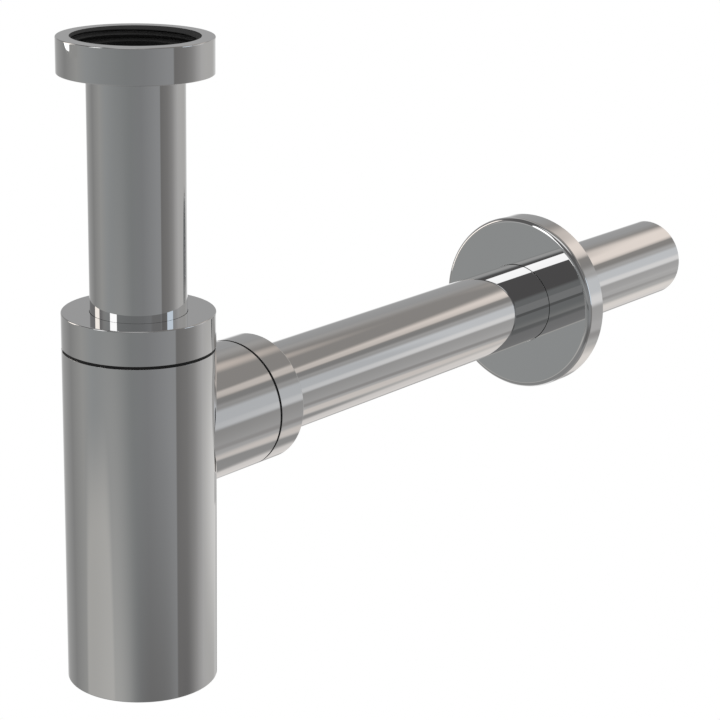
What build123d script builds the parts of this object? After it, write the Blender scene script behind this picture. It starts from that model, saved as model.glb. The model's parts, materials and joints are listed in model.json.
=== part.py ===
"""A round bottle trap for a washbasin, all chrome-plated brass, with its wall pipe and cover flange.

The inlet axis is Z, and the wall pipe runs along +Y. The origin is the centre of the washer in the
inlet nut, on which the basin waste's end rests, so the trap hangs below it. Lengths are in millimetres.
"""

from build123d import *
import os

# The 32 mm tube that the trap is made from, as inlet tube and as wall pipe
tube_radius = 16.0
tube_wall = 1.0
bore_gap = 0.5          # chrome bores stand off the tube by this
seal_gap = 0.05         # rubber and plastic rings run on the tube with this
fit_gap = 0.05          # seals sit in their seats with this

# The inlet nut and what it clamps. Tube, flange, clearance and thread depth add up to 20.955,
# the major radius of the G 1 1/4 thread that basin wastes have
flange_width = 3.175    # the tube's turned-out flange
flange_clearance = 0.3  # the flange passes the thread's crests with this
basin_thread_depth = 1.48
basin_thread_length = 4.0
thread_relief_depth = 0.3
inlet_nut_wall = 4.445  # outside the thread
nut_floor = 3.0         # thickness of a nut's end plate
flange_thickness = 1.5
washer_thickness = 2.5
friction_ring_thickness = 0.8

# Heights and reaches
visible_inlet = 78.4    # inlet nut to cap nut
bottle_height = 116.0
branch_reach = 45.8     # bottle's axis to the end of its branch
branch_web = 1.5        # shell left between the neck's plug and the hole into the branch
dip_clearance = 18.0    # dip end of the inlet tube over the inside of the base
visible_outlet = 162.2  # outlet nut to wall flange
wall_tail = 91.2        # wall pipe beyond the flange
pipe_inset = 19.8       # wall pipe's inner end, back from the end of the branch

# The bottle
shell_wall = 1.2
base_thickness = 1.5
base_recess = 0.5

# The two compression joints, at the bottle's mouth and at the branch's end
cap_seal_width = 5.1    # room for the cone seal between bore and seat
outlet_seal_width = 2.2
gland_nut_height = 11.6
seam = 1.0              # height of the black ring that shows between nut and shell
seam_inset = 0.35       # that ring stays back from the nut's surface
gland_nut_wall = 2.0    # at the thread
thread_gap = 0.1
spigot_wall = 1.8
spigot_height = 9.0
plug_depth = 8.0
seat_depth = 5.0        # height of the conical seat
slip_ring_thickness = 1.5
edge_break = 0.3        # small round on the polished edges
seam_edge_break = 0.1   # and on the crisper edges along the seams

# The wall flange
cover_radius = 35.0
cover_depth = 10.0
cover_front = 2.0
cover_side = 1.8
cover_edge_radius = 2.0
cover_inner_radius = 0.8
hub_wall = 3.2
hub_depth = 7.6
grip_section = 1.15     # section radius of the rubber ring in the hub
grip_gap = 0.05
groove_lip = 2.6        # chrome left in front of that ring

# Sizes that follow
tube_bore = tube_radius - tube_wall
clear_bore = tube_radius + bore_gap
seal_bore = tube_radius + seal_gap
joint_wall = spigot_wall + gland_nut_wall
bottle_radius = clear_bore + cap_seal_width + joint_wall
branch_radius = clear_bore + outlet_seal_width + joint_wall
flange_radius = tube_radius + flange_width
basin_thread_radius = flange_radius + flange_clearance + basin_thread_depth
nut_radius = basin_thread_radius + inlet_nut_wall
rim_z = basin_thread_length
flange_top_z = -washer_thickness
flange_under_z = flange_top_z - flange_thickness
nut_shoulder_z = flange_under_z - friction_ring_thickness
nut_bottom_z = nut_shoulder_z - nut_floor
mouth_z = nut_bottom_z - visible_inlet - gland_nut_height - seam
base_z = mouth_z - bottle_height
outlet_z = mouth_z - plug_depth - branch_web - (branch_radius - shell_wall)
base_inside_z = base_z + base_recess + base_thickness
dip_z = base_inside_z + dip_clearance
outlet_nut_end = branch_reach + seam + gland_nut_height
cover_front_y = outlet_nut_end + visible_outlet
wall_y = cover_front_y + cover_depth
pipe_end_y = wall_y + wall_tail
pipe_start_y = branch_reach - pipe_inset

# Half sections are drawn with the radius along X and the height along Y of these planes
upright = Plane.XZ
mouth_plane = Plane(origin=(0, 0, mouth_z), x_dir=(1, 0, 0), z_dir=(0, -1, 0))
branch_plane = Plane(origin=(0, branch_reach, outlet_z), x_dir=(1, 0, 0), z_dir=(0, 0, 1))
cover_plane = Plane(origin=(0, cover_front_y, outlet_z), x_dir=(1, 0, 0), z_dir=(0, 0, 1))
across = Plane(origin=(0, 0, outlet_z), x_dir=(1, 0, 0), z_dir=(0, 1, 0))


def outline(*points):
    """Half section through the points, given as (radius, height)."""
    Polygon(*points, align=None)


def spin(plane):
    """Turns the half section about the height direction of its plane."""
    revolve(axis=Axis(plane.origin, plane.y_dir))


def rims(part, radius):
    """The circular edges of that radius."""
    circles = part.edges().filter_by(GeomType.CIRCLE)
    return circles.filter_by(lambda edge: abs(edge.radius - radius) < 1e-4)


def thread_radius(shell_radius):
    """Outside of the threaded spigot, which leaves the nut its wall over it."""
    return shell_radius - gland_nut_wall


def seat_radius(shell_radius):
    """Inside of the spigot, where the cone seal and the slip ring sit."""
    return thread_radius(shell_radius) - spigot_wall


def make_neck(plane, shell_radius):
    """Turned ring brazed into the shell: plug below the mouth, threaded spigot above, cone seat inside."""
    plug_radius = shell_radius - shell_wall
    spigot_radius = thread_radius(shell_radius)
    mouth_radius = seat_radius(shell_radius)
    with BuildPart() as neck:
        with BuildSketch(plane):
            outline(
                (clear_bore, -plug_depth),
                (plug_radius, -plug_depth),
                (plug_radius, 0),
                (spigot_radius, 0),
                (spigot_radius, spigot_height),
                (mouth_radius, spigot_height),
                (mouth_radius, seat_depth),
                (clear_bore, 0),
            )
        spin(plane)
        top = neck.edges().filter_by(GeomType.CIRCLE).sort_by(Axis(plane.origin, plane.y_dir))[-2:]
        chamfer(top, edge_break)
    return neck


def make_seam_ring(plane, shell_radius):
    """Flat black rubber ring between the shell and the nut."""
    with BuildPart() as ring:
        with BuildSketch(plane):
            outline(
                (thread_radius(shell_radius) + seal_gap, 0),
                (shell_radius - seam_inset, 0),
                (shell_radius - seam_inset, seam),
                (thread_radius(shell_radius) + seal_gap, seam),
            )
        spin(plane)
    return ring


def make_cone_seal(plane, shell_radius):
    """Tapered rubber ring that the nut squeezes against the tube."""
    fitted_radius = seat_radius(shell_radius) - fit_gap
    taper = (seat_radius(shell_radius) - clear_bore) / seat_depth
    toe_height = seat_depth / 8
    toe_radius = clear_bore + taper * toe_height - fit_gap
    seal_top = seam + gland_nut_height - nut_floor - slip_ring_thickness
    with BuildPart() as seal:
        with BuildSketch(plane):
            outline(
                (seal_bore, toe_height),
                (toe_radius, toe_height),
                (fitted_radius, seat_depth),
                (fitted_radius, seal_top),
                (seal_bore, seal_top),
            )
        spin(plane)
    return seal


def make_slip_ring(plane, shell_radius):
    """Plastic ring that lets the nut turn on the cone seal without dragging it round."""
    ring_radius = seat_radius(shell_radius) - fit_gap
    ring_top = seam + gland_nut_height - nut_floor
    with BuildPart() as ring:
        with BuildSketch(plane):
            outline(
                (seal_bore, ring_top - slip_ring_thickness),
                (ring_radius, ring_top - slip_ring_thickness),
                (ring_radius, ring_top),
                (seal_bore, ring_top),
            )
        spin(plane)
    return ring


def make_gland_nut(plane, shell_radius):
    """Polished nut, flush with the shell, that screws on the spigot and closes round the tube."""
    bore = thread_radius(shell_radius) + thread_gap
    nut_top = seam + gland_nut_height
    with BuildPart() as nut:
        with BuildSketch(plane):
            outline(
                (bore, seam),
                (shell_radius, seam),
                (shell_radius, nut_top),
                (clear_bore, nut_top),
                (clear_bore, nut_top - nut_floor),
                (bore, nut_top - nut_floor),
            )
        spin(plane)
        seam_edge, front_edge = rims(nut, shell_radius).sort_by(Axis(plane.origin, plane.y_dir))
        fillet(seam_edge, seam_edge_break)
        fillet(front_edge, edge_break)
    return nut


# Inlet nut: round, smooth outside, with a floor that carries the tube's flange
with BuildPart() as inlet_nut:
    with BuildSketch(upright):
        outline(
            (clear_bore, nut_bottom_z),
            (nut_radius, nut_bottom_z),
            (nut_radius, rim_z),
            (basin_thread_radius, rim_z),
            (basin_thread_radius, 0),
            (basin_thread_radius + thread_relief_depth, 0),
            (basin_thread_radius + thread_relief_depth, nut_shoulder_z),
            (clear_bore, nut_shoulder_z),
        )
    spin(upright)
    fillet(rims(inlet_nut, nut_radius), edge_break)

# Friction ring: thin plastic, on the nut's floor, on which the nut turns under the flange
with BuildPart() as inlet_slip_ring:
    with BuildSketch(upright):
        outline(
            (seal_bore, nut_shoulder_z),
            (flange_radius, nut_shoulder_z),
            (flange_radius, flange_under_z),
            (seal_bore, flange_under_z),
        )
    spin(upright)

# Inlet tube: one tube with a turned-out flange on top, which dips into the bottle
with BuildPart() as inlet_tube:
    with BuildSketch(upright):
        outline(
            (tube_bore, dip_z),
            (tube_radius, dip_z),
            (tube_radius, flange_under_z),
            (flange_radius, flange_under_z),
            (flange_radius, flange_top_z),
            (tube_bore, flange_top_z),
        )
    spin(upright)
    flange_edge = rims(inlet_tube, tube_bore).sort_by(Axis.Z)[-1]
    fillet(flange_edge, tube_wall / 2)
    chamfer(rims(inlet_tube, tube_radius).sort_by(Axis.Z)[0], tube_wall / 3)

# Washer: flat black rubber on the flange, that the waste's end presses on
with BuildPart() as inlet_washer:
    with BuildSketch(upright):
        outline(
            (tube_bore, flange_top_z),
            (flange_radius, flange_top_z),
            (flange_radius, 0),
            (tube_bore, 0),
        )
    spin(upright)
    fillet(inlet_washer.edges().group_by(Axis.Z)[-1], edge_break)

# Bottle shell: brass tube with a round hole into the branch
with BuildPart() as bottle_shell:
    with BuildSketch(Plane.XY.offset(base_z)):
        Circle(bottle_radius)
        Circle(bottle_radius - shell_wall, mode=Mode.SUBTRACT)
    extrude(amount=bottle_height)
    with BuildSketch(across):
        Circle(branch_radius - shell_wall)
    extrude(amount=bottle_radius, mode=Mode.SUBTRACT)
    foot_edge, mouth_edge = rims(bottle_shell, bottle_radius).sort_by(Axis.Z)
    fillet(foot_edge, edge_break)
    fillet(mouth_edge, seam_edge_break)

# Base: flat disc pressed into the shell's lower end and brazed
with BuildPart() as bottle_base:
    with BuildSketch(Plane.XY.offset(base_z + base_recess)):
        Circle(bottle_radius - shell_wall)
    extrude(amount=base_thickness)

# Branch: short brass tube with a saddle cut, brazed to the side of the shell
with BuildPart() as outlet_branch:
    with BuildSketch(across):
        Circle(branch_radius)
        Circle(branch_radius - shell_wall, mode=Mode.SUBTRACT)
    extrude(amount=branch_reach)
    with BuildSketch(Plane.XY.offset(base_z)):
        Circle(bottle_radius)
    extrude(amount=bottle_height, mode=Mode.SUBTRACT)
    fillet(rims(outlet_branch, branch_radius).sort_by(Axis.Y)[-1], seam_edge_break)

# Compression joint at the bottle's mouth
bottle_neck = make_neck(mouth_plane, bottle_radius)
cap_seam_ring = make_seam_ring(mouth_plane, bottle_radius)
cap_cone_seal = make_cone_seal(mouth_plane, bottle_radius)
cap_slip_ring = make_slip_ring(mouth_plane, bottle_radius)
cap_nut = make_gland_nut(mouth_plane, bottle_radius)

# Compression joint at the branch's end
outlet_neck = make_neck(branch_plane, branch_radius)
outlet_seam_ring = make_seam_ring(branch_plane, branch_radius)
outlet_cone_seal = make_cone_seal(branch_plane, branch_radius)
outlet_slip_ring = make_slip_ring(branch_plane, branch_radius)
outlet_nut = make_gland_nut(branch_plane, branch_radius)

# Wall pipe: straight tube from inside the branch into the wall
with BuildPart() as outlet_pipe:
    with BuildSketch(across.offset(pipe_start_y)):
        Circle(tube_radius)
        Circle(tube_bore, mode=Mode.SUBTRACT)
    extrude(amount=pipe_end_y - pipe_start_y)
    chamfer(rims(outlet_pipe, tube_radius), tube_wall / 3)

# Wall flange: pressed cover with a rounded front edge, open at the back, with a hub for its ring
groove_top = groove_lip + 2 * (grip_section + grip_gap)
groove_radius = seal_bore + 2 * grip_section + grip_gap
hub_radius = clear_bore + hub_wall
cover_inside = cover_radius - cover_side
with BuildPart() as wall_flange:
    with BuildSketch(cover_plane):
        with BuildLine():
            Polyline(
                (cover_radius, cover_edge_radius),
                (cover_radius, cover_depth),
                (cover_inside, cover_depth),
                (cover_inside, cover_front + cover_inner_radius),
            )
            RadiusArc(
                (cover_inside, cover_front + cover_inner_radius),
                (cover_inside - cover_inner_radius, cover_front),
                cover_inner_radius,
            )
            Polyline(
                (cover_inside - cover_inner_radius, cover_front),
                (hub_radius, cover_front),
                (hub_radius, hub_depth),
                (clear_bore, hub_depth),
                (clear_bore, groove_top),
                (groove_radius, groove_top),
                (groove_radius, groove_lip),
                (clear_bore, groove_lip),
                (clear_bore, 0),
                (cover_radius - cover_edge_radius, 0),
            )
            RadiusArc(
                (cover_radius - cover_edge_radius, 0),
                (cover_radius, cover_edge_radius),
                -cover_edge_radius,
            )
        make_face()
    spin(cover_plane)

# Grip ring: round black rubber ring in the hub's groove, that holds the flange on the pipe
with BuildPart() as flange_grip_ring:
    with BuildSketch(cover_plane):
        with Locations((seal_bore + grip_section, groove_lip + grip_gap + grip_section)):
            Circle(grip_section)
    spin(cover_plane)

pieces = {
    "inlet_nut": inlet_nut,
    "inlet_slip_ring": inlet_slip_ring,
    "inlet_tube": inlet_tube,
    "inlet_washer": inlet_washer,
    "bottle_shell": bottle_shell,
    "bottle_base": bottle_base,
    "outlet_branch": outlet_branch,
    "bottle_neck": bottle_neck,
    "cap_seam_ring": cap_seam_ring,
    "cap_cone_seal": cap_cone_seal,
    "cap_slip_ring": cap_slip_ring,
    "cap_nut": cap_nut,
    "outlet_neck": outlet_neck,
    "outlet_seam_ring": outlet_seam_ring,
    "outlet_cone_seal": outlet_cone_seal,
    "outlet_slip_ring": outlet_slip_ring,
    "outlet_nut": outlet_nut,
    "outlet_pipe": outlet_pipe,
    "wall_flange": wall_flange,
    "flange_grip_ring": flange_grip_ring,
}

os.makedirs("parts", exist_ok=True)
for name, piece in pieces.items():
    piece.part.label = name
    export_step(piece.part, f"parts/{name}.step")
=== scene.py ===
import json
import math
from collections import namedtuple

import bmesh
import bpy
from mathutils import Matrix, Vector


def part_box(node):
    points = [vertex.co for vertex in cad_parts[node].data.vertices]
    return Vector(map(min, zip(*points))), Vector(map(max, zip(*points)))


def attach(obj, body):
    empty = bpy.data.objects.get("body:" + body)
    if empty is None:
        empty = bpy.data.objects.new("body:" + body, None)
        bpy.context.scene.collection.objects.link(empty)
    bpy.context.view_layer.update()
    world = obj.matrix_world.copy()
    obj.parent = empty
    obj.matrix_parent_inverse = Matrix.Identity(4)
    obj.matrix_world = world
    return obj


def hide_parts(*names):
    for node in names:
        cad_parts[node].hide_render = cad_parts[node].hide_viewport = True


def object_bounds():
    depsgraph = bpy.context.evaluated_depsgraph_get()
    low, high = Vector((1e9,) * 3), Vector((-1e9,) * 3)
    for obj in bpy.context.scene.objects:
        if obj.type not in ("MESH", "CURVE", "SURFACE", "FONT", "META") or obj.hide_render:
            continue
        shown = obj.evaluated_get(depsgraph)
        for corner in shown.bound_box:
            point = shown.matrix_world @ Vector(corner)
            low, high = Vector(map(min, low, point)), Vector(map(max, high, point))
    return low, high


# The basin trap in a white studio. Lengths are in metres, angles in degrees.
# Origin: centre of the inlet washer's top face. +Z is up, +Y is along the wall pipe.

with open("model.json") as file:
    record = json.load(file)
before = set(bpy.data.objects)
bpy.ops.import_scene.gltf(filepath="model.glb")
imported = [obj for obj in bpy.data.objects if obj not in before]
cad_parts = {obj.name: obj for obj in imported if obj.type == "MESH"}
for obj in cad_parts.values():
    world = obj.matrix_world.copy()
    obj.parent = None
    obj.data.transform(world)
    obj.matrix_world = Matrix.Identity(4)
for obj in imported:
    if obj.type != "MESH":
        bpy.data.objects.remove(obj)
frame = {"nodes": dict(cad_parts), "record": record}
cad_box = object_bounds()

# ---------------------------------------------------------------- camera

camera_place = (0.501492, -0.524566, 0.118102)
camera_azimuth = 37.963
camera_down_tilt = 16.941
camera_roll = 1.010
lens_length = 114.65
sensor_width = 36.0
view_reach = 200.0

# ---------------------------------------------------------------- studio

background_white = (1.0, 1.0, 1.0)
floor_drop = 0.60
floor_size = 40.0
floor_colour = (0.9, 0.9, 0.9, 1.0)
plain_light = 1.0
full_turn = 360.0
half_turn = 180.0

# Wall tones seen in the chrome all round the trap: azimuth, display colour.
wall_tones = [
    (-180, (134, 134, 133)),
    (-168, (125, 125, 124)),
    (-140, (143, 143, 141)),
    (-122, (136, 138, 138)),
    (-95, (127, 129, 129)),
    (-60, (118, 120, 120)),
    (-35, (119, 120, 121)),
    (0, (132, 133, 134)),
    (9, (133, 134, 135)),
    (10, (105, 104, 103)),
    (28, (114, 113, 112)),
    (40, (127, 126, 125)),
    (46, (137, 136, 135)),
    (51, (148, 147, 146)),
    (58, (158, 157, 156)),
    (62, (164, 163, 162)),
    (74, (166, 165, 163)),
    (84, (164, 163, 161)),
    (97, (162, 161, 159)),
    (110, (180, 180, 179)),
    (116, (203, 203, 203)),
    (124, (230, 230, 230)),
    (136, (215, 215, 215)),
    (146, (176, 176, 176)),
    (160, (147, 147, 146)),
    (180, (134, 134, 133)),
]

# Panels and lamps hung in front of the walls:
# name, azimuth, elevation, half width, half height, squareness, soft share of its size, display colour.
panels = [
    ("upper left", -85, 63, 120, 48, 4, 0.12, (88, 87, 87)),
    ("upper middle", -4, 30, 16, 22, 4, 0.3, (117, 117, 117)),
    ("far wall", 185, 24, 42, 17, 4, 0.3, (119, 118, 118)),
    ("upper right", 88, 56, 56, 39, 4, 0.16, (132, 129, 126)),
    ("upper far right", 120, 32, 18, 14, 2, 1.0, (152, 150, 148)),
    ("right wall", 129, 14, 30, 22, 3, 0.6, (145, 145, 145)),
    ("ceiling glow", -60, 66, 75, 16, 3, 0.6, (225, 225, 224)),
    ("floor by the door", -115, -42, 28, 24, 5, 0.14, (162, 161, 158)),
    ("floor pool", -88, -36, 46, 27, 2, 1.0, (172, 171, 168)),
    ("far floor", -90, -54, 60, 27, 5, 0.12, (127, 127, 127)),
    ("dark rug", -22, -34, 48, 17, 3, 0.8, (94, 93, 92)),
    ("dark corner", 24, -29, 22, 11, 2, 1.0, (96, 95, 95)),
    ("rug end", -63, -31, 15, 5.5, 3, 0.6, (108, 109, 109)),
    ("deep floor", 52, -62, 60, 22, 6, 0.10, (136, 135, 134)),
    ("left picture", -124, 8, 16, 9, 3, 0.6, (166, 166, 165)),
    ("near shelf", -55, 2, 24, 6.6, 5, 0.16, (134, 135, 135)),
    ("shelf shadow", -56, -6.8, 20, 2.6, 5, 0.3, (96, 97, 97)),
    ("low band", 61, -28.5, 16, 4, 3, 0.8, (138, 136, 135)),
    ("low light right", 98, -19.9, 44, 5.2, 2, 0.9, (194, 193, 191)),
    ("window", 33, 10, 9.5, 14.5, 5, 0.14, (215, 227, 238)),
    ("pale wall", 57, 4.5, 11.5, 12.5, 4, 0.4, (187, 189, 191)),
    ("pale wall end", 46.5, 4.5, 5.5, 13.5, 4, 0.4, (173, 175, 177)),
    ("sill", 57, -2.5, 15, 6.5, 3, 0.8, (208, 207, 206)),
    ("dark beam", 54, 24.4, 15, 5.2, 2, 0.8, (124, 123, 122)),
    ("strip lamp end", 63, 31.4, 14, 4.4, 5, 0.6, (188, 181, 175)),
    ("strip lamp", 84, 32, 26, 5.5, 3, 0.7, (222, 212, 204)),
    ("top lamp", 100, 46, 16, 7, 2, 0.8, (190, 180, 172)),
    ("floor glow", 108, -35, 24, 11, 3, 0.4, (196, 192, 189)),
    ("floor glow left", 91, -34, 15, 7.5, 2, 0.8, (206, 201, 196)),
    ("floor glow near", 72, -37.5, 14, 5, 3, 0.6, (194, 188, 183)),
    ("far right low", 121, -25, 14, 9, 3, 0.6, (150, 149, 148)),
    ("warm lamp foot", -155.2, -9.067, 13.4, 0.253, 2, 0.01, (290, 290, 289)),
    ("warm lamp foot side", -146.1, -9.28, 9.1, 0.2, 10, 0.02, (139, 139, 137)),
    ("warm lamp", -160.5, 12.17, 9.2, 21.25, 10, 0.006, (274, 266, 257)),
    ("soft lamp", -108.1, 25, 9.6, 17, 5, 0.08, (290, 290, 289)),
]

# ---------------------------------------------------------------- finishes

chrome_reflectance = 0.68
chrome_tone = (0.68, 0.68, 0.684)
brass_tone = (0.78, 0.62, 0.36)
rubber_tone = (0.006, 0.006, 0.0063)
plastic_tone = (0.82, 0.82, 0.80)
# Dark tone painted on the inlet nut's bore: painted shade, standing in for the shade inside the nut.
bore_shade_tone = (0.032, 0.032, 0.032)

# For each finish: its tone, the size of its cloudy marks in metres, the tone in them as a share of the
# plain tone, and the range of its roughness.
Finish = namedtuple("Finish", "tone cloud_size cloud_share smooth rough")
chrome_finish = Finish(chrome_tone, 0.03, 0.97, 0.004, 0.02)
brass_finish = Finish(brass_tone, 0.012, 0.86, 0.20, 0.40)
rubber_finish = Finish(rubber_tone, 0.0012, 1.8, 0.45, 0.65)
plastic_finish = Finish(plastic_tone, 0.004, 0.92, 0.30, 0.45)
# The bore's entry is painted shade, not a finish of the metal.
bore_shade_paint = Finish(bore_shade_tone, 0.004, 1.25, 0.5, 0.65)

cloud_detail = 4.0
ring_detail = 3.0
brass_ring_size = 0.0004
bore_ring_size = 0.0006
brass_ring_depth = 0.00001
brass_ring_strength = 0.6
rubber_grain_depth = 0.00005
rubber_grain_strength = 0.3
rubber_shine = 0.25
bore_shine = 0.05


def display_to_light(grey):
    """Gives the light value of a display grey of 0 to 255, with the numbers of the sRGB curve."""
    share = grey / 255
    if share <= 0.04045:
        return share / 12.92
    return ((share + 0.055) / 1.055) ** 2.4


def mirror_light(colour):
    """Gives the light that the chrome turns into the wanted display colour."""
    return [display_to_light(grey) / chrome_reflectance for grey in colour]


class Wires:
    """Short way to add and join nodes in one tree."""

    def __init__(self, tree):
        self.tree = tree

    def add(self, kind, **settings):
        node = self.tree.nodes.new(kind)
        for name, value in settings.items():
            setattr(node, name, value)
        return node

    def join(self, output, socket):
        self.tree.links.new(output, socket)

    def feed(self, value, socket):
        if hasattr(value, "is_linked"):
            self.join(value, socket)
        else:
            socket.default_value = value

    def maths(self, operation, first, second=0.0, third=0.0):
        node = self.add("ShaderNodeMath", operation=operation)
        for value, socket in zip((first, second, third), node.inputs):
            self.feed(value, socket)
        return node.outputs[0]

    def blend(self, factor, first, second):
        node = self.add("ShaderNodeMix", data_type="RGBA")
        self.feed(factor, node.inputs["Factor"])
        self.feed(first, node.inputs["A"])
        self.feed(second, node.inputs["B"])
        return node.outputs["Result"]


def new_group(name, inputs, outputs):
    """Makes an empty shader group with the given sockets. Returns it with its wires and both ends."""
    group = bpy.data.node_groups.new(name, "ShaderNodeTree")
    for label, kind, value in inputs:
        socket = group.interface.new_socket(label, in_out="INPUT", socket_type=kind)
        socket.default_value = value
    for label, kind in outputs:
        group.interface.new_socket(label, in_out="OUTPUT", socket_type=kind)
    wires = Wires(group)
    start = wires.add("NodeGroupInput")
    end = wires.add("NodeGroupOutput")
    return group, wires, start.outputs, end.inputs


# ---------------------------------------------------------------- studio building


def make_panel_group():
    """Mask of one soft-edged panel, placed by azimuth and elevation in degrees."""
    labels = [
        "Azimuth",
        "Elevation",
        "Panel Azimuth",
        "Panel Elevation",
        "Half Width",
        "Half Height",
        "Squareness",
        "Softness",
    ]
    inputs = [(label, "NodeSocketFloat", 1.0) for label in labels]
    group, wires, given, result = new_group("studio_panel", inputs, [("Mask", "NodeSocketFloat")])
    aside = wires.maths("SUBTRACT", given["Azimuth"], given["Panel Azimuth"])
    aside = wires.maths("WRAP", aside, half_turn, -half_turn)
    across = wires.maths("ABSOLUTE", wires.maths("DIVIDE", aside, given["Half Width"]))
    raised = wires.maths("SUBTRACT", given["Elevation"], given["Panel Elevation"])
    upward = wires.maths("ABSOLUTE", wires.maths("DIVIDE", raised, given["Half Height"]))
    across = wires.maths("POWER", across, given["Squareness"])
    upward = wires.maths("POWER", upward, given["Squareness"])
    root = wires.maths("DIVIDE", 1.0, given["Squareness"])
    distance = wires.maths("POWER", wires.maths("ADD", across, upward), root)
    inside = wires.maths("SUBTRACT", 1.0, distance)
    edge = wires.add("ShaderNodeMapRange", interpolation_type="SMOOTHSTEP")
    wires.join(inside, edge.inputs["Value"])
    wires.join(given["Softness"], edge.inputs["From Max"])
    wires.join(edge.outputs["Result"], result["Mask"])
    return group


def make_studio():
    """White to the eye, with grey walls, panels and lamps for the chrome to mirror."""
    world = bpy.data.worlds.new("studio")
    bpy.context.scene.world = world
    world.use_nodes = True
    world.node_tree.nodes.clear()
    wires = Wires(world.node_tree)
    coordinate = wires.add("ShaderNodeTexCoord")
    split = wires.add("ShaderNodeSeparateXYZ")
    wires.join(coordinate.outputs["Generated"], split.inputs[0])
    azimuth = wires.maths("ARCTAN2", split.outputs["Y"], split.outputs["X"])
    azimuth = wires.maths("DEGREES", azimuth)
    elevation = wires.maths("DEGREES", wires.maths("ARCSINE", split.outputs["Z"]))

    place = wires.maths("DIVIDE", wires.maths("ADD", azimuth, half_turn), full_turn)
    ramp = wires.add("ShaderNodeValToRGB")
    wires.join(place, ramp.inputs[0])
    stops = ramp.color_ramp.elements
    for index, (angle, colour) in enumerate(wall_tones):
        at = (angle + half_turn) / full_turn
        stop = stops[index] if index < 2 else stops.new(at)
        stop.position = at
        stop.color = (*mirror_light(colour), 1.0)
    room = ramp.outputs["Color"]

    panel_group = make_panel_group()
    for name, at_azimuth, at_elevation, half_width, half_height, squareness, softness, colour in panels:
        panel = wires.add("ShaderNodeGroup", node_tree=panel_group, label=name)
        wires.join(azimuth, panel.inputs["Azimuth"])
        wires.join(elevation, panel.inputs["Elevation"])
        panel.inputs["Panel Azimuth"].default_value = at_azimuth
        panel.inputs["Panel Elevation"].default_value = at_elevation
        panel.inputs["Half Width"].default_value = half_width
        panel.inputs["Half Height"].default_value = half_height
        panel.inputs["Squareness"].default_value = squareness
        panel.inputs["Softness"].default_value = softness
        room = wires.blend(panel.outputs["Mask"], room, (*mirror_light(colour), 1.0))

    path = wires.add("ShaderNodeLightPath")
    mirrored = wires.maths("MAXIMUM", path.outputs["Is Glossy Ray"], path.outputs["Is Transmission Ray"])
    seen = wires.blend(mirrored, (plain_light, plain_light, plain_light, 1.0), room)
    seen = wires.blend(path.outputs["Is Camera Ray"], seen, (*background_white, 1.0))
    light = wires.add("ShaderNodeBackground")
    wires.join(seen, light.inputs["Color"])
    output = wires.add("ShaderNodeOutputWorld")
    wires.join(light.outputs[0], output.inputs["Surface"])


def make_floor():
    """Pale floor far below the trap, white to the eye."""
    reach = floor_size / 2
    height = cad_box[0][2] - floor_drop
    mesh = bpy.data.meshes.new("floor")
    corners = [
        (-reach, -reach, height),
        (reach, -reach, height),
        (reach, reach, height),
        (-reach, reach, height),
    ]
    mesh.from_pydata(corners, [], [(0, 1, 2, 3)])
    floor = bpy.data.objects.new("floor", mesh)
    bpy.context.scene.collection.objects.link(floor)
    material = bpy.data.materials.new("floor_white")
    material.use_nodes = True
    material.node_tree.nodes.clear()
    wires = Wires(material.node_tree)
    paint = wires.add("ShaderNodeBsdfDiffuse")
    paint.inputs["Color"].default_value = floor_colour
    glow = wires.add("ShaderNodeEmission")
    glow.inputs["Color"].default_value = (*background_white, 1.0)
    path = wires.add("ShaderNodeLightPath")
    mix = wires.add("ShaderNodeMixShader")
    wires.join(path.outputs["Is Camera Ray"], mix.inputs[0])
    wires.join(paint.outputs[0], mix.inputs[1])
    wires.join(glow.outputs[0], mix.inputs[2])
    output = wires.add("ShaderNodeOutputMaterial")
    wires.join(mix.outputs[0], output.inputs["Surface"])
    mesh.materials.append(material)
    floor.visible_glossy = False
    floor.visible_transmission = False


def make_camera():
    """Camera at the photograph's viewing angle."""
    camera = bpy.data.cameras.new("camera")
    camera.lens = lens_length
    camera.sensor_width = sensor_width
    camera.clip_end = view_reach
    holder = bpy.data.objects.new("camera", camera)
    bpy.context.scene.collection.objects.link(holder)
    azimuth = Matrix.Rotation(math.radians(camera_azimuth), 4, "Z")
    tilt = Matrix.Rotation(math.radians(90 - camera_down_tilt), 4, "X")
    roll = Matrix.Rotation(math.radians(camera_roll), 4, "Z")
    holder.matrix_world = Matrix.Translation(camera_place) @ azimuth @ tilt @ roll
    bpy.context.scene.camera = holder


# ---------------------------------------------------------------- materials


def make_wear_group():
    """Faint cloudy handling marks, as a mask from 0 to 1."""
    inputs = [("Cloud Size", "NodeSocketFloat", chrome_finish.cloud_size)]
    group, wires, given, result = new_group("handling_marks", inputs, [("Clouds", "NodeSocketFloat")])
    coordinate = wires.add("ShaderNodeTexCoord")
    clouds = wires.add("ShaderNodeTexNoise")
    clouds.inputs["Detail"].default_value = cloud_detail
    wires.join(coordinate.outputs["Object"], clouds.inputs["Vector"])
    wires.join(wires.maths("DIVIDE", 1.0, given["Cloud Size"]), clouds.inputs["Scale"])
    wires.join(clouds.outputs["Fac"], result["Clouds"])
    return group


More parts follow.
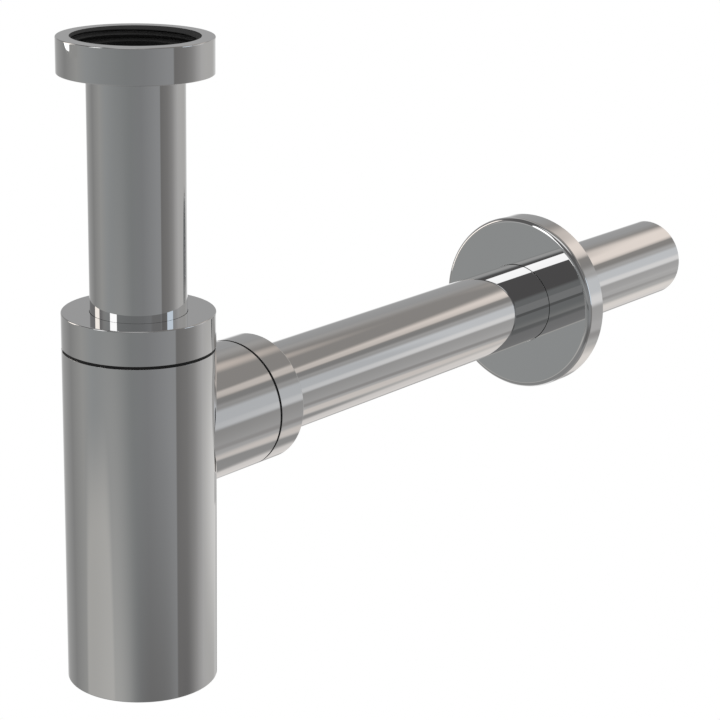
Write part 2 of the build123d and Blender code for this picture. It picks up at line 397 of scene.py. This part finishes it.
def make_lathe_group():
    """Fine rings that a lathe tool leaves about a turned piece's own Z axis, as a mask from 0 to 1."""
    inputs = [("Ring Size", "NodeSocketFloat", brass_ring_size)]
    group, wires, given, result = new_group("lathe_rings", inputs, [("Rings", "NodeSocketFloat")])
    coordinate = wires.add("ShaderNodeTexCoord")
    split = wires.add("ShaderNodeSeparateXYZ")
    wires.join(coordinate.outputs["Object"], split.inputs[0])
    across = wires.maths("MULTIPLY", split.outputs["X"], split.outputs["X"])
    across = wires.maths("MULTIPLY_ADD", split.outputs["Y"], split.outputs["Y"], across)
    place = wires.add("ShaderNodeCombineXYZ")
    wires.join(wires.maths("SQRT", across), place.inputs["X"])
    wires.join(split.outputs["Z"], place.inputs["Y"])
    rings = wires.add("ShaderNodeTexNoise", noise_dimensions="2D")
    rings.inputs["Detail"].default_value = ring_detail
    wires.join(place.outputs[0], rings.inputs["Vector"])
    wires.join(wires.maths("DIVIDE", 1.0, given["Ring Size"]), rings.inputs["Scale"])
    wires.join(rings.outputs["Fac"], result["Rings"])
    return group


def ranged(wires, value, low, high):
    """Spreads a 0 to 1 mask over the range low to high."""
    return wires.maths("MULTIPLY_ADD", value, high - low, low)


def add_rings(wires, lathe, size):
    """Adds the lathe rings to a material, and returns their mask."""
    tooling = wires.add("ShaderNodeGroup", node_tree=lathe)
    tooling.inputs["Ring Size"].default_value = size
    return tooling.outputs["Rings"]


def add_bump(wires, shader, mask, strength, depth):
    """Raises the shader's surface where the mask is high."""
    bump = wires.add("ShaderNodeBump")
    bump.inputs["Strength"].default_value = strength
    bump.inputs["Distance"].default_value = depth
    wires.join(mask, bump.inputs["Height"])
    wires.join(bump.outputs[0], shader.inputs["Normal"])


def new_material(name, finish, wear):
    """Makes a material with one Principled shader, its tone clouded by the handling marks."""
    material = bpy.data.materials.new(name)
    material.use_nodes = True
    material.node_tree.nodes.clear()
    wires = Wires(material.node_tree)
    shader = wires.add("ShaderNodeBsdfPrincipled")
    shader.inputs["Base Color"].default_value = (*finish.tone, 1.0)
    output = wires.add("ShaderNodeOutputMaterial")
    wires.join(shader.outputs[0], output.inputs["Surface"])
    marks = wires.add("ShaderNodeGroup", node_tree=wear)
    marks.inputs["Cloud Size"].default_value = finish.cloud_size
    clouded = tuple(finish.cloud_share * part for part in finish.tone)
    tone = wires.blend(marks.outputs["Clouds"], (*finish.tone, 1.0), (*clouded, 1.0))
    wires.join(tone, shader.inputs["Base Color"])
    return material, wires, shader, marks.outputs["Clouds"]


def make_chrome(wear):
    material, wires, shader, clouds = new_material("polished_chrome", chrome_finish, wear)
    roughness = ranged(wires, clouds, chrome_finish.smooth, chrome_finish.rough)
    wires.join(roughness, shader.inputs["Roughness"])
    shader.inputs["Metallic"].default_value = 1.0
    return material


def make_brass(wear, lathe):
    material, wires, shader, _ = new_material("turned_brass", brass_finish, wear)
    rings = add_rings(wires, lathe, brass_ring_size)
    roughness = ranged(wires, rings, brass_finish.smooth, brass_finish.rough)
    wires.join(roughness, shader.inputs["Roughness"])
    shader.inputs["Metallic"].default_value = 1.0
    add_bump(wires, shader, rings, brass_ring_strength, brass_ring_depth)
    return material


def make_rubber(wear):
    material, wires, shader, clouds = new_material("black_rubber", rubber_finish, wear)
    roughness = ranged(wires, clouds, rubber_finish.smooth, rubber_finish.rough)
    wires.join(roughness, shader.inputs["Roughness"])
    shader.inputs["Specular IOR Level"].default_value = rubber_shine
    add_bump(wires, shader, clouds, rubber_grain_strength, rubber_grain_depth)
    return material


def make_plastic(wear):
    material, wires, shader, clouds = new_material("slip_plastic", plastic_finish, wear)
    roughness = ranged(wires, clouds, plastic_finish.smooth, plastic_finish.rough)
    wires.join(roughness, shader.inputs["Roughness"])
    return material


# Painted shade: a dark material with little shine for the inlet nut's bore, standing in for the shade
# inside the nut.
def make_painted_bore_shade(wear, lathe):
    material, wires, shader, _ = new_material("painted_bore_shade", bore_shade_paint, wear)
    rings = add_rings(wires, lathe, bore_ring_size)
    roughness = ranged(wires, rings, bore_shade_paint.smooth, bore_shade_paint.rough)
    wires.join(roughness, shader.inputs["Roughness"])
    shader.inputs["Specular IOR Level"].default_value = bore_shine
    return material


# ---------------------------------------------------------------- turned pieces

# One corner of a half section, given by radius and height. Its finish and its thread are those of the
# run that starts there. A fitted corner takes its height from its place round the axis instead, and
# the run from an open corner is left out.
Corner = namedtuple("Corner", "radius height round finish thread fit open",
                    defaults=(0.0, 0, None, None, False))
Row = namedtuple("Row", "radius height finish thread fit open sharp",
                 defaults=(None, None, False, False))

# Places of a corner's finish in its piece's list of finishes
polished = 0
inner = 1

# Steps round a turned mesh with and without a thread, steps in a rounded corner, and rows in a pitch.
# In metres: how far beside a rounded corner a row keeps the shading of the long runs flat, and how
# close points are joined at the ends of a hole's wall.
threaded_steps = 192
plain_steps = 384
round_steps = 8
rows_per_pitch = 16
support = 0.00004
weld_reach = 0.0000001

# A turned mesh has its axis along its own Z, which stands upright or lies along the outlet.
turning_axes = {
    "Z": Matrix.Identity(4),
    "Y": Matrix(((0, 1, 0, 0), (0, 0, 1, 0), (1, 0, 0, 0), (0, 0, 0, 1))),
}

# Thread form: crest and root are flat over this share of half a pitch, with straight flanks between.
thread_flat = 0.18


class Thread:
    """Right-hand thread. Its outside form has crests at crest_radius and grooves down to root_radius."""

    def __init__(self, root_radius, crest_radius, pitch, start, low_end, high_end, cut_into):
        self.root_radius = root_radius
        self.depth = crest_radius - root_radius
        self.pitch = pitch
        self.start = start
        self.low_end = low_end
        self.high_end = high_end
        self.cut_into = cut_into

    def radius(self, height, turn):
        phase = ((height - self.start) / self.pitch - turn) % 1.0
        off_crest = abs(2 * phase - 1)
        ridge = (1 - thread_flat - off_crest) / (1 - 2 * thread_flat)
        ridge = min(max(ridge, 0.0), 1.0)
        to_end = max(min(height - self.low_end, self.high_end - height), 0.0)
        if self.cut_into == "bore":
            return max(self.root_radius + self.depth * ridge, self.root_radius + self.depth - to_end)
        return min(self.root_radius + self.depth * ridge, self.root_radius + to_end)


def rounded(corners):
    """Closed half section with each rounded corner drawn as an arc and each thread as many rows."""
    rows = []
    for index, corner in enumerate(corners):
        here = Vector((corner.radius, corner.height))
        back = (Vector(corners[index - 1][:2]) - here).normalized()
        ahead_corner = corners[(index + 1) % len(corners)]
        ahead = (Vector(ahead_corner[:2]) - here).normalized()
        if corner.round > 0:
            half_angle = back.angle(ahead) / 2
            centre = here + (back + ahead).normalized() * corner.round / math.sin(half_angle)
            reach = corner.round / math.tan(half_angle)
            first = here + back * reach - centre
            last = here + ahead * reach - centre
            sweep = first.angle_signed(last)
            before = here + back * (reach + support)
            rows.append(Row(before.x, before.y, corners[index - 1].finish))
            for step in range(round_steps + 1):
                spoke = first.copy()
                spoke.rotate(Matrix.Rotation(-sweep * step / round_steps, 2))
                point = centre + spoke
                rows.append(Row(point.x, point.y, corner.finish))
            after = here + ahead * (reach + support)
            rows.append(Row(after.x, after.y, corner.finish))
        else:
            rows.append(Row(here.x, here.y, corner.finish, None, corner.fit, corner.open, True))
        if corner.thread:
            length = ahead_corner.height - corner.height
            count = int(abs(length) / corner.thread.pitch * rows_per_pitch)
            for step in range(1, count):
                height = corner.height + length * step / count
                rows.append(Row(corner.radius, height, corner.finish, corner.thread))
    return rows


def turned(name, corners, centre, along, finishes_used):
    """Mesh turned from a half section about the line through centre, upright or along the outlet."""
    rows = rounded(corners)
    steps = threaded_steps if any(row.thread for row in rows) else plain_steps
    points = []
    moved = []
    for row in rows:
        for step in range(steps):
            angle = 2 * math.pi * step / steps
            reach = row.thread.radius(row.height, step / steps) if row.thread else row.radius
            side = reach * math.cos(angle)
            other = reach * math.sin(angle)
            height = row.height
            if row.fit:
                height = row.fit(side, other) if along == "Z" else row.fit(other, side)
            points.append((side, other, height))
            moved.append(height != row.height)

    # Each run goes from a row to the next. The wall of a hole joins its outer rows to its inner rows.
    runs = [(row, (row + 1) % len(rows)) for row in range(len(rows)) if not rows[row].open]
    hole_walls = []
    if any(row.open for row in rows):
        hole_rows = [row for row in range(len(rows)) if rows[row].fit]
        outer_foot, outer_head, inner_head, inner_foot = hole_rows
        hole_walls = [(outer_foot, inner_foot), (outer_head, inner_head)]
    faces = []
    face_finishes = []
    for row, after in runs + hole_walls:
        for step in range(steps):
            beside = (step + 1) % steps
            corners_of_face = (
                row * steps + step,
                row * steps + beside,
                after * steps + beside,
                after * steps + step,
            )
            if (row, after) in hole_walls and not any(moved[corner] for corner in corners_of_face):
                continue
            faces.append(corners_of_face)
            face_finishes.append(rows[row].finish)
    mesh = bpy.data.meshes.new(name)
    mesh.from_pydata(points, [], faces)
    for polygon, finish in zip(mesh.polygons, face_finishes):
        polygon.use_smooth = True
        polygon.material_index = finish
    for edge in mesh.edges:
        first, last = edge.vertices
        row = rows[first // steps]
        in_row = first // steps == last // steps
        if in_row and row.sharp and (not row.fit or moved[first] or moved[last]):
            edge.use_edge_sharp = True
    shape = bmesh.new()
    shape.from_mesh(mesh)
    if hole_walls:
        bmesh.ops.remove_doubles(shape, verts=shape.verts, dist=weld_reach)
    bmesh.ops.recalc_face_normals(shape, faces=shape.faces)
    shape.to_mesh(mesh)
    shape.free()
    for material in finishes_used:
        mesh.materials.append(material)
    piece = bpy.data.objects.new(name, mesh)
    piece.matrix_world = Matrix.Translation(centre) @ turning_axes[along]
    bpy.context.scene.collection.objects.link(piece)
    return piece


wear_group = make_wear_group()
lathe_group = make_lathe_group()
finishes = {
    "painted_bore_shade": make_painted_bore_shade(wear_group, lathe_group),
    "polished_chrome": make_chrome(wear_group),
    "turned_brass": make_brass(wear_group, lathe_group),
    "black_rubber": make_rubber(wear_group),
    "slip_plastic": make_plastic(wear_group),
}

for subpart in frame["record"]["subparts"]:
    solid = frame["nodes"][subpart["node"]]
    solid.data.materials.clear()
    solid.data.materials.append(finishes[subpart["material_slot"]])

# ---------------------------------------------------------------- sizes read from the frame

mm = 0.001
nut_low, nut_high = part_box("inlet_nut")
cap_low, cap_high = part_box("cap_nut")
gland_low, gland_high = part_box("outlet_nut")
shell_low, shell_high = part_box("bottle_shell")
_, branch_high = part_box("outlet_branch")
washer_low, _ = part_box("inlet_washer")
cover_low, cover_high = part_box("wall_flange")
pipe_low, pipe_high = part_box("outlet_pipe")
tube_low, tube_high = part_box("inlet_tube")

tube_radius = pipe_high[0]
outlet_height = (pipe_low[2] + pipe_high[2]) / 2
bottle_mouth = shell_high[2]
branch_end = branch_high[1]
bottle_radius = shell_high[0]
branch_radius = branch_high[0]
cover_radius = cover_high[0]
edge_round = 0.3 * mm
rim_round = 0.4 * mm
seam_round = 0.04 * mm
tube_wall = 1.0 * mm
tube_bore = tube_radius - tube_wall
tube_chamfer = 0.33 * mm
tube_flange_depth = 1.5 * mm
tube_mouth_round = 0.5 * mm
slide_gap = 0.5 * mm

# The chrome bores close round the tube to a hairline at their lips.
lip_gap = 0.13 * mm
lip_bore = tube_radius + lip_gap
clear_bore = tube_radius + slide_gap

# Threads of the two compression joints
joint_pitch = 1.5 * mm
joint_depth = 0.8 * mm
joint_play = 0.1 * mm
nut_wall = 2.0 * mm
spigot_wall = 1.8 * mm
spigot_height = 9.0 * mm
thread_relief = 0.9 * mm
plug_depth = 8.0 * mm
seat_depth = 5.0 * mm
shell_wall = 1.2 * mm
# The nuts' floors are drawn 0.01 mm short of the solids', to stay clear of the slip rings' faces.
nut_floor = 2.99 * mm

# Wall flange
cover_side = 1.8 * mm
cover_front = 2.0 * mm
cover_edge_round = 2.0 * mm
cover_rim_round = 0.15 * mm
cover_inner_round = 0.8 * mm
cover_lip_round = 0.05 * mm
hub_foot_round = 0.4 * mm
hub_wall = 3.2 * mm
hub_depth = 7.6 * mm
groove_low = 2.6 * mm
groove_high = 5.0 * mm
groove_depth = 2.4 * mm

# Thread of the inlet nut, for a basin waste of 1 1/4 inch
basin_pitch = 2.309 * mm
basin_major = 20.955 * mm
basin_minor = 19.476 * mm
relief_radius = 21.255 * mm
inlet_floor_drop = 2.3 * mm

# Runs of the bottle and the branch start clear of the hole and the saddle between them.
hole_margin = 1.0 * mm
saddle_margin = 0.3 * mm


def neck_corners(shell_radius):
    """Half section of a threaded neck, heights from the shell's end."""
    spigot = shell_radius - nut_wall
    seat = spigot - spigot_wall
    root = spigot - joint_depth
    thread = Thread(root, spigot, joint_pitch, 0.0, thread_relief, spigot_height, "spigot")
    return [
        Corner(clear_bore, -plug_depth),
        Corner(shell_radius - shell_wall, -plug_depth),
        Corner(shell_radius - shell_wall, 0.0),
        Corner(root, 0.0, thread=thread),
        Corner(root, spigot_height),
        Corner(seat, spigot_height, edge_round),
        Corner(seat, seat_depth),
        Corner(clear_bore, 0.0),
    ]


def gland_nut_corners(shell_radius, low, high):
    """Half section of a joint's nut, heights from the shell's end."""
    bore = shell_radius - nut_wall + joint_play
    thread = Thread(bore - joint_depth, bore, joint_pitch, 0.0, low, high - nut_floor, "bore")
    return [
        Corner(bore, low, 0.0, polished),
        Corner(shell_radius, low, seam_round, polished),
        Corner(shell_radius, high, rim_round, polished),
        Corner(lip_bore, high, 0.0, polished),
        Corner(lip_bore, high - nut_floor, 0.0, inner),
        Corner(bore, high - nut_floor, 0.0, inner, thread),
    ]


def inlet_nut_corners():
    """Half section of the inlet nut, heights from the washer's top face."""
    floor_top = washer_low[2] - inlet_floor_drop
    rim = nut_high[2]
    thread = Thread(basin_minor, basin_major, basin_pitch, 0.0, 0.0, rim, "bore")
    return [
        Corner(lip_bore, nut_low[2], 0.0, polished),
        Corner(nut_high[0], nut_low[2], edge_round, polished),
        Corner(nut_high[0], rim, rim_round, polished),
        # The bore's runs take the second material, the painted shade inside the nut.
        Corner(basin_major, rim, 0.0, inner, thread),
        Corner(basin_major, 0.0, 0.0, inner),
        Corner(relief_radius, 0.0, 0.0, inner),
        Corner(relief_radius, floor_top, 0.0, inner),
        Corner(lip_bore, floor_top, 0.0, polished),
    ]


def inlet_tube_corners():
    """Half section of the inlet tube, heights from the washer's top face."""
    flange_top = tube_high[2]
    flange_under = flange_top - tube_flange_depth
    return [
        Corner(tube_bore, tube_low[2]),
        Corner(tube_radius - tube_chamfer, tube_low[2]),
        Corner(tube_radius, tube_low[2] + tube_chamfer),
        Corner(tube_radius, flange_under),
        Corner(tube_high[0], flange_under),
        Corner(tube_high[0], flange_top),
        Corner(tube_bore, flange_top, tube_mouth_round),
    ]


def wall_pipe_corners():
    """Half section of the wall pipe, heights along the outlet from the bottle's axis."""
    start = pipe_low[1]
    end = pipe_high[1]
    return [
        Corner(tube_bore, start),
        Corner(tube_radius - tube_chamfer, start),
        Corner(tube_radius, start + tube_chamfer),
        Corner(tube_radius, end - tube_chamfer),
        Corner(tube_radius - tube_chamfer, end),
        Corner(tube_bore, end),
    ]


def hole_reach(east, north):
    """Half height of the hole into the branch, at a place on the bottle's wall."""
    bore = branch_radius - shell_wall
    if north < 0 or abs(east) >= bore:
        return 0.0
    return math.sqrt(bore ** 2 - east ** 2)


def hole_foot(east, north):
    return outlet_height - hole_reach(east, north)


def hole_head(east, north):
    return outlet_height + hole_reach(east, north)


def bottle_corners():
    """Half section of the bottle's shell, with the hole into its branch."""
    inside = bottle_radius - shell_wall
    clear = branch_radius + hole_margin
    return [
        Corner(bottle_radius, shell_low[2], edge_round),
        Corner(bottle_radius, outlet_height - clear),
        Corner(bottle_radius, outlet_height, fit=hole_foot, open=True),
        Corner(bottle_radius, outlet_height, fit=hole_head),
        Corner(bottle_radius, outlet_height + clear),
        Corner(bottle_radius, shell_high[2], seam_round),
        Corner(inside, shell_high[2]),
        Corner(inside, outlet_height, fit=hole_head, open=True),
        Corner(inside, outlet_height, fit=hole_foot),
        Corner(inside, shell_low[2]),
    ]


def saddle(east, _):
    """Height at which the branch meets the bottle, from the bottle's axis."""
    return math.sqrt(bottle_radius ** 2 - east ** 2)


def branch_corners():
    """Half section of the branch, heights along the outlet from the bottle's axis."""
    inside = branch_radius - shell_wall
    beyond_saddle = bottle_radius + saddle_margin
    return [
        Corner(inside, 0.0, fit=saddle),
        Corner(branch_radius, 0.0, fit=saddle),
        Corner(branch_radius, beyond_saddle),
        Corner(branch_radius, branch_end, seam_round),
        Corner(inside, branch_end),
    ]


def cover_corners():
    """Half section of the wall flange, heights from its front face."""
    depth = cover_high[1] - cover_low[1]
    inside = cover_radius - cover_side
    hub = clear_bore + hub_wall
    groove_radius = tube_radius + groove_depth
    return [
        Corner(cover_radius, 0.0, cover_edge_round),
        Corner(cover_radius, depth, cover_rim_round),
        Corner(inside, depth, cover_rim_round),
        Corner(inside, cover_front, cover_inner_round),
        Corner(hub, cover_front, hub_foot_round),
        Corner(hub, hub_depth, edge_round),
        Corner(clear_bore, hub_depth, edge_round),
        Corner(clear_bore, groove_high),
        Corner(groove_radius, groove_high),
        Corner(groove_radius, groove_low),
        Corner(lip_bore, groove_low),
        Corner(lip_bore, 0.0, cover_lip_round),
    ]


def place_turned(name, node, body, corners, centre, along, finishes_used):
    piece = turned(name, corners, centre, along, finishes_used)
    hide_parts(node)
    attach(piece, body)


chrome = finishes["polished_chrome"]
brass = finishes["turned_brass"]
# Painted shade for the inside of the inlet nut.
dark = finishes["painted_bore_shade"]
mouth_centre = (0.0, 0.0, bottle_mouth)
branch_centre = (0.0, branch_end, outlet_height)
cover_centre = (0.0, cover_low[1], outlet_height)
origin = (0.0, 0.0, 0.0)
outlet_start = (0.0, 0.0, outlet_height)

place_turned("inlet_tube_turned", "inlet_tube", "inlet_tube",
             inlet_tube_corners(), origin, "Z", [chrome])
place_turned("bottle_shell_turned", "bottle_shell", "bottle",
             bottle_corners(), origin, "Z", [chrome])
place_turned("outlet_branch_turned", "outlet_branch", "bottle",
             branch_corners(), outlet_start, "Y", [chrome])
place_turned("outlet_pipe_turned", "outlet_pipe", "outlet_pipe",
             wall_pipe_corners(), outlet_start, "Y", [chrome])
# The inlet nut's bore is painted shade.
place_turned("inlet_nut_turned", "inlet_nut", "inlet_nut",
             inlet_nut_corners(), origin, "Z", [chrome, dark])
place_turned("cap_nut_turned", "cap_nut", "cap_nut",
             gland_nut_corners(bottle_radius, cap_low[2] - bottle_mouth, cap_high[2] - bottle_mouth),
             mouth_centre, "Z", [chrome, brass])
place_turned("outlet_nut_turned", "outlet_nut", "outlet_nut",
             gland_nut_corners(branch_radius, gland_low[1] - branch_end, gland_high[1] - branch_end),
             branch_centre, "Y", [chrome, brass])
place_turned("bottle_neck_threaded", "bottle_neck", "bottle",
             neck_corners(bottle_radius), mouth_centre, "Z", [brass])
place_turned("outlet_neck_threaded", "outlet_neck", "bottle",
             neck_corners(branch_radius), branch_centre, "Y", [brass])
place_turned("wall_flange_turned", "wall_flange", "wall_flange",
             cover_corners(), cover_centre, "Y", [chrome])

make_studio()
make_floor()
make_camera()
bpy.context.scene.view_settings.view_transform = "Standard"
